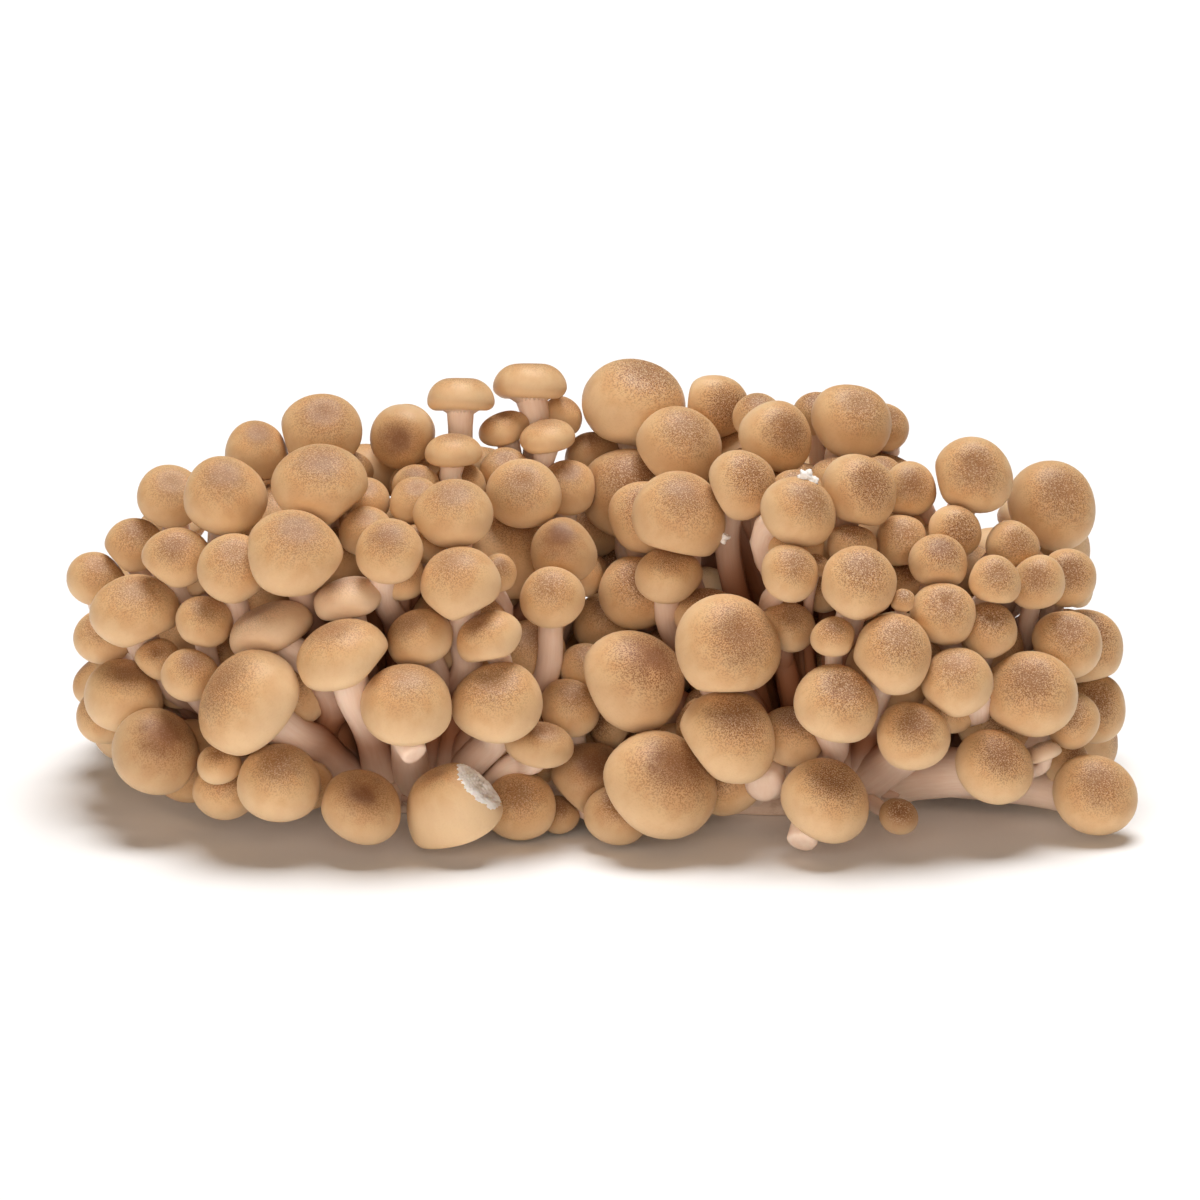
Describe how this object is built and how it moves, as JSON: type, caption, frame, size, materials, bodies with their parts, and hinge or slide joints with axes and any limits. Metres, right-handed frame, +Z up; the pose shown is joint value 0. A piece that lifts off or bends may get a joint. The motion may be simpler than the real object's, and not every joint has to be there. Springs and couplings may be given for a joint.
{
  "type": "beech mushroom cluster",
  "caption": "Dense standing cluster of brown beech mushrooms: domed speckled caps in two lobes on pale stems that join in a flat cut foot.",
  "frame": {"origin": "middle of the cluster's box, on the flat cut face that it stands on", "axes": "+X along the cluster's length to the right, +Y to its back, +Z up"},
  "size_m": [0.2144, 0.1068, 0.0834],
  "materials": {
    "cap_skin": "fresh brown beech mushroom: smooth, softly glossy tan cap skin with a darker stippled crown; pale smooth stems",
    "stem_flesh": "matte creamy mushroom flesh, cut flat below"
  },
  "bodies": {
    "root": {"cut_foot": "stem_flesh", "left_bunch": "cap_skin", "right_bunch": "cap_skin"}
  },
  "joints": []
}
